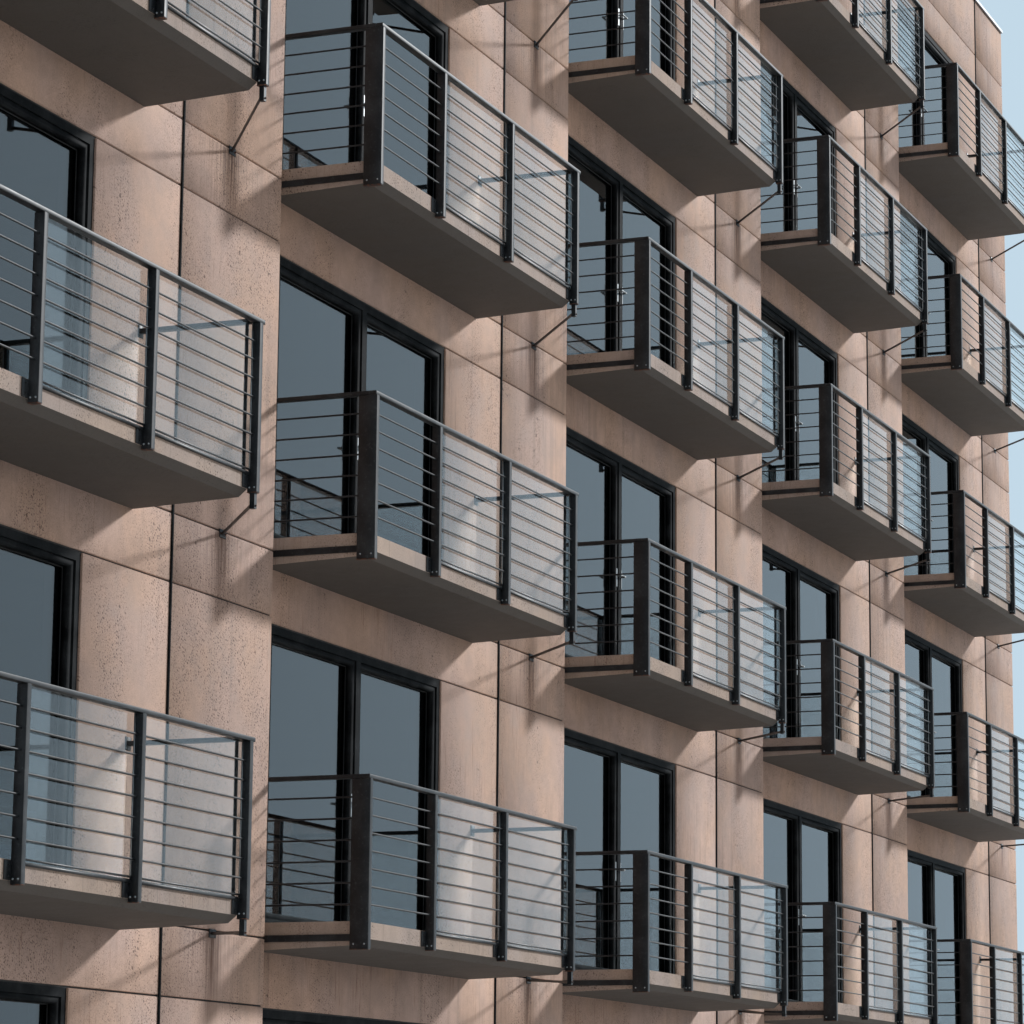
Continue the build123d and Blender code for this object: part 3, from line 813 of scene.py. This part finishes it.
class BLOCK_OT_doors(bpy.types.Operator):
    """Sashes, gaskets and handles of the glazed doors, in front of and behind their glass"""
    bl_idname = "block.doors"
    bl_label = "Glazed doors"

    def execute(self, context):
        place, s = layout()
        frame_width, mullion, setback, depth, band = 0.06, 0.08, 0.015, 0.12, 0.045
        clear = (s.door_width - 2 * frame_width - mullion) / 2
        sill, head = 0.05, s.door_head - place.half_joint - frame_width
        # The sash's face stands back 12 mm from the frame's, and its bead slopes towards the glass
        face, glass = setback + 0.012, setback + 0.075
        sash = [(0, 0, glass - 0.001), (0, 0, face + 0.003), (0, 0.003, face), (0.75, 0, face), (1, 0, face + 0.012),
                (1, 0, glass - 0.001)]
        rear = [(0, 0, glass + 0.025), (1, 0, glass + 0.025), (1, 0, setback + depth - 0.006),
                (0, 0, setback + depth - 0.002)]
        gasket = [(0, 0, glass - 0.0005), (0, 0, glass - 0.006), (1, 0, glass - 0.003), (1, 0, glass - 0.0005)]
        inward = np.array([1, 1, -1, -1])
        sashes, gaskets, handles = [], [], []
        for left in (frame_width, frame_width + clear + mullion):
            outer = np.array([left, sill, left + clear, head])
            inner = outer + band * inward
            sashes += [rim(outer, inner, sash), rim(outer, inner, rear)]
            gaskets.append(rim(inner - 0.001 * inward, inner + 0.006 * inward, gasket))
        # Lever handles on the stiles that meet at the mullion, with a long plate and a lever 106 mm long
        height = 1.03
        for way in (-1, 1):
            x = s.door_width / 2 + way * (mullion / 2 + 0.022)
            start, stop = sorted((x + way * 0.006, x - way * 0.1))
            handles += [block(span(x, 0.013), (face - 0.005, face + 0.002), (0.92, 1.1), steps=2),
                        rod((x, face - 0.003, height), (x, face - 0.045, height), 0.016, 12, 0.002),
                        rod((start, face - 0.043, height), (stop, face - 0.043, height), 0.018, 12, 0.004)]
        doors = place.places(s.pier_width, place.levels)
        add_piece("door_sashes", sashes, FRAME, places=doors)
        add_piece("door_gaskets", gaskets, GASKET, places=doors)
        add_piece("door_handles", handles, HANDLE, places=doors, smooth=40)
        dress(FRAME, *numbered("door_frames_bay"))
        dress(DOOR_GLASS, "door_glass", "back_window_glass")
        return {"FINISHED"}


class BLOCK_OT_windows(bpy.types.Operator):
    """Frames, middle stiles and sheet metal sills of the back windows"""
    bl_idname = "block.windows"
    bl_label = "Back windows"

    def execute(self, context):
        place, s = layout()
        left, foot, right, top = place.window
        width, glass_outer, glass_inner, play = 0.06, -0.14, -0.164, 0.0005
        outside, inside = glass_outer + play, glass_inner - play
        front, back = glass_outer + 0.03, glass_inner - 0.03
        # The frame grips the glass, which runs into a rebate 15 mm deep behind its inner edge
        section = [(0, 0.001, back), (0, 0.001, front - 0.003), (0, 0.004, front), (0.7, 0, front),
                   (1, 0, front - 0.01), (1, 0, outside), (0.75, 0, outside), (0.75, 0, inside), (1, 0, inside),
                   (1, 0, back)]
        frames = [rim(place.window, (left + width, foot + width, right - width, top - width), section)]
        frames += [block(span((left + right) / 2, 0.045), depth, (foot + width - 0.002, top - width + 0.002))
                   for depth in ((outside, front - 0.002), (back + 0.002, inside))]
        # Sill: a sheet that falls 12 mm to the wall face
        sheet = [(0, front, foot + 0.016), (0, -0.003, foot + 0.004), (0, -0.003, foot + 0.001),
                 (0, front, foot + 0.001)]
        sills = [swept(sheet, (left + 0.002, 0, 0), (right - 0.002, 0, 0))]
        windows = place.places(0, place.levels, s.block_depth)
        add_piece("window_frames", frames, FRAME, places=windows)
        add_piece("window_sills", sills, SHEET_METAL, places=windows)
        return {"FINISHED"}


class BLOCK_OT_railings(bpy.types.Operator):
    """Posts, threaded round bars, top rails and side bars of the balcony railings"""
    bl_idname = "block.railings"
    bl_label = "Railings"

    def execute(self, context):
        place, s = layout()
        front, middle, half = place.rail_front, place.rail_middle, s.post_width / 2
        rail_foot = s.rail_height - s.rail_thickness
        posts = [block(span(x, half), (front, back), (foot, rail_foot), steps=2) for x, back, foot in place.posts]
        # A thin upright stands beside the end post
        posts.append(block((s.balcony_length - 0.02, s.balcony_length),
                           (place.slab_face + 0.02, place.slab_face + 0.04), (0, rail_foot), steps=2))
        low, high, front_count, side_count = s.low_bar, s.rail_height - s.top_bar_drop, 7, 6
        front_bars = [rod((-half, middle, z), (place.end_post, middle, z), s.bar_diameter)
                      for z in np.linspace(low, high, front_count)]
        side_bars = [rod((-half, front + s.corner_post_depth - 0.01, z), (-half, 0, z), s.bar_diameter)
                     for z in np.linspace(low, high, side_count)]
        reach = s.rail_width / 2
        rows = rail_foot, s.rail_height
        front_rail = block((-half - reach, place.end_post + half + 0.04), span(middle, reach), rows, axis="x",
                           radius=0.005, steps=3)
        side_rails = [block(span(x, reach), (middle + reach - 0.004, 0), rows, axis="y", radius=0.005, steps=3)
                      for x in (-half, place.end_post)]
        for name, parts, nodes, smooth in (
                ("railing_posts", posts, numbered("railing_posts_bay"), 35),
                ("railing_front_round_bars", front_bars, numbered("railing_front_bars_bay"), 50),
                ("railing_side_round_bars", side_bars, ["railing_side_bars"], 50),
                ("railing_front_top_rails", [front_rail], ["railing_front_rails"], 35),
                ("railing_side_top_rails", side_rails, ["railing_side_rails"], 35)):
            add_piece(name, parts, STEEL, *nodes, places=place.balconies(), smooth=smooth)
        dress(STEEL, "balcony_steel_bars")
        dress(RAILING_GLASS, "railing_glass")
        return {"FINISHED"}


class BLOCK_OT_fittings(bpy.types.Operator):
    """Small steel of the balconies: shoes, fixing plates, bolts, anchors, glass clamps and the panes' edge strips"""
    bl_idname = "block.fittings"
    bl_label = "Railing fittings"

    def execute(self, context):
        place, s = layout()
        slab, front, middle, half = place.slab_face, place.rail_front, place.rail_middle, s.post_width / 2
        centres = [x for x, _, _ in place.posts[1:]]
        # Shoes: steel caps of 5 mm under the feet, a little larger than the posts
        shoes = [block(span(x, half + 0.002), (front + 0.001, back + 0.002), (foot - 0.005, foot + 0.001),
                       radius=0.002) for x, back, foot in place.posts]
        # Fixing plates on the slab's edge, left of each post, with two bolts each
        plates = [block((x - half - 0.08, x - half), (slab - 0.008, slab), (-0.118, -0.004), axis="y", radius=0.002)
                  for x in centres]
        facing = repeated(hex_bolt(0.009, 0.01, (0, -1, 0)),
                          [(x - half - 0.045, slab - 0.008, z) for x in centres for z in (-0.03, -0.095)])
        # Bolts through the left cheeks of the posts' feet
        cheeks = [(x - half, y - 0.016, -s.post_drop + 0.03) for x in centres for y in (slab, middle)]
        cheeks += [(-s.post_width, front + y, -s.corner_post_drop + 0.035) for y in (0.03, 0.115)]
        aside = repeated(hex_bolt(0.007, 0.008, (-1, 0, 0)), cheeks)
        # The stay's anchor on the wall, with a bolt on each side, and the bolt of its hanger
        anchor = place.end_post + s.stay_reach
        plates.append(block(span(anchor, 0.05), (-0.008, 0), span(-s.anchor_drop, 0.03), axis="y", radius=0.002))
        anchors = repeated(hex_bolt(0.009, 0.009, (0, -1, 0)),
                           [(x, -0.008, -s.anchor_drop) for x in span(anchor, 0.034)]
                           + [(place.end_post, middle - 0.018, -s.post_drop - 0.09)])
        # Wall plates of the top rails
        plates += [block(span(x, 0.04), (-0.006, 0), (s.rail_height - 0.06, s.rail_height + 0.03), axis="y",
                         radius=0.002) for x in (-half, place.end_post)]
        # Clamps along the panes' feet: two flat bars on each pane, with the pane's edge between them
        back = middle + s.rail_width / 2
        clamps, strips = [], []
        for low, high in zip(np.add(centres, half), np.subtract(centres[1:], half)):
            clamps += [block((low + 0.002, high - 0.002), (back - 0.014, back + 0.004), rows, axis="x", radius=0.002)
                       for rows in ((-0.024, -0.006), (0.006, 0.018))]
            # Bright strips 3 mm thick on the panes' upright edges
            strips += [block(span(x, 0.0015), (back - 0.0125, back + 0.0025),
                             (0.018, s.rail_height - s.rail_thickness), radius=0.001) for x in (low, high)]
        for name, parts, finish in (
                ("railing_shoes", shoes, RUSTED), ("railing_fixing_plates", plates, STEEL),
                ("fixing_plate_bolts", [facing], STEEL), ("post_foot_bolts", [aside], BRIGHT),
                ("anchor_bolts", [anchors], RUSTED), ("railing_glass_clamps", clamps, STEEL),
                ("pane_edge_strips", strips, BRIGHT)):
            add_piece(name, parts, finish, places=place.balconies())
        return {"FINISHED"}


class BLOCK_OT_stage(bpy.types.Operator):
    """Pale floor, soft lamps, sky and the camera at the photograph's place"""
    bl_idname = "block.stage"
    bl_label = "Stage"

    def execute(self, context):
        # Floor: a disc of rings r (cos t, sin t), 120 m wide
        rings, sides = 6, 48
        points = np.concatenate([circle(2, radius, sides) for radius in np.linspace(0, 60, rings + 1)[1:]])
        index = np.arange(rings * sides).reshape(rings, sides)
        wrapped = np.column_stack([index, index[:, :1]])
        quads = np.stack([wrapped[:-1, :-1], wrapped[1:, :-1], wrapped[1:, 1:], wrapped[:-1, 1:]], -1)
        form = points, np.append(quads, index[0]), np.append(np.full(quads.size // 4, 4), sides)
        mesh_object("studio_floor", form, finishes()["painted_floor_matt"])
        self.add_sky(context.scene)
        self.add_lamp("key_lamp", 2.9, 5.0, (1.4, -1.0, 0.8))
        self.add_lamp("back_lamp", 2.0, 30.0, (0.5, 1.0, 0.8))
        self.add_camera(context.scene)
        return {"FINISHED"}

    def add_sky(self, scene):
        """Even pale light all round. The camera, mirrors and glass see the backdrop's own colour."""
        scene.world = bpy.data.worlds.new("pale_studio")
        scene.world.use_nodes = True
        tree = scene.world.node_tree
        tree.nodes.clear()
        light = node(tree, "Background", linear("#F4F6F8"), 0.45)
        seen = node(tree, "Background", linear("#C3D9E8"), 1.0)
        path = node(tree, "LightPath", out="Is Camera Ray").node.outputs
        sight = node(tree, "Math MAXIMUM", path["Is Camera Ray"], path["Is Glossy Ray"])
        sight = node(tree, "Math MAXIMUM", sight, path["Is Transmission Ray"])
        backdrop = node(tree, "MixShader", sight, light, seen)
        node(tree, "OutputWorld", backdrop)

    def add_lamp(self, name, strength, spread, direction):
        """A soft sun lamp that shines from the given direction."""
        data = bpy.data.lights.new(name, "SUN")
        data.energy = strength
        data.angle = math.radians(spread)
        lamp = bpy.data.objects.new(name, data)
        lamp.rotation_mode = "QUATERNION"
        lamp.rotation_quaternion = Vector(direction).to_track_quat("Z", "Y")
        bpy.context.scene.collection.objects.link(lamp)

    def add_camera(self, scene):
        """The photograph's viewpoint: low, to the left of the row, looking along it and up."""
        yaw, pitch, roll = np.radians([22.063, 10.739, 0.543])
        data = bpy.data.cameras.new("street_camera")
        data.sensor_width = 36.0
        data.lens = 119.53
        data.clip_end = 400.0
        scene.camera = bpy.data.objects.new("street_camera", data)
        forward = Vector((math.cos(yaw) * math.cos(pitch), math.sin(yaw) * math.cos(pitch), math.sin(pitch)))
        level = Vector((math.sin(yaw), -math.cos(yaw), 0.0))
        upright = level.cross(forward)
        right = math.cos(roll) * level + math.sin(roll) * upright
        up = math.cos(roll) * upright - math.sin(roll) * level
        turned = Matrix((right, up, -forward)).transposed().to_4x4()
        scene.camera.matrix_world = Matrix.Translation((-31.351, -16.004, 1.617)) @ turned
        scene.collection.objects.link(scene.camera)
        scene.view_settings.view_transform = "Standard"


class BLOCK_PT_panel(bpy.types.Panel):
    """The block's operators, sizes and colours in the sidebar."""
    bl_label = "Stepped apartment block"
    bl_idname = "BLOCK_PT_panel"
    bl_space_type = "VIEW_3D"
    bl_region_type = "UI"
    bl_category = "Block"

    def draw(self, context):
        for kind in operators:
            self.layout.operator(kind.bl_idname)
        for group in (context.scene.block_sizes, context.scene.block_colours):
            box = self.layout.box()
            for name in group.bl_rna.properties.keys():
                if name not in ("rna_type", "name"):
                    box.prop(group, name)


operators = (BLOCK_OT_walls, BLOCK_OT_joints, BLOCK_OT_roof, BLOCK_OT_doors, BLOCK_OT_windows,
             BLOCK_OT_railings, BLOCK_OT_fittings, BLOCK_OT_stage)
classes = (BlockSizes, BlockColours, *operators, BLOCK_PT_panel)


def register():
    """Register the classes and hang the sizes and colours on the scene."""
    for kind in classes:
        bpy.utils.register_class(kind)
    bpy.types.Scene.block_sizes = bpy.props.PointerProperty(type=BlockSizes)
    bpy.types.Scene.block_colours = bpy.props.PointerProperty(type=BlockColours)


def unregister():
    """Undo what register did."""
    del bpy.types.Scene.block_sizes
    del bpy.types.Scene.block_colours
    for kind in reversed(classes):
        bpy.utils.unregister_class(kind)


def main():
    """Register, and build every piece."""
    register()
    bpy.ops.block.walls()
    bpy.ops.block.joints()
    bpy.ops.block.roof()
    bpy.ops.block.doors()
    bpy.ops.block.windows()
    bpy.ops.block.railings()
    bpy.ops.block.fittings()
    bpy.ops.block.stage()


if __name__ == "__main__":
    main()
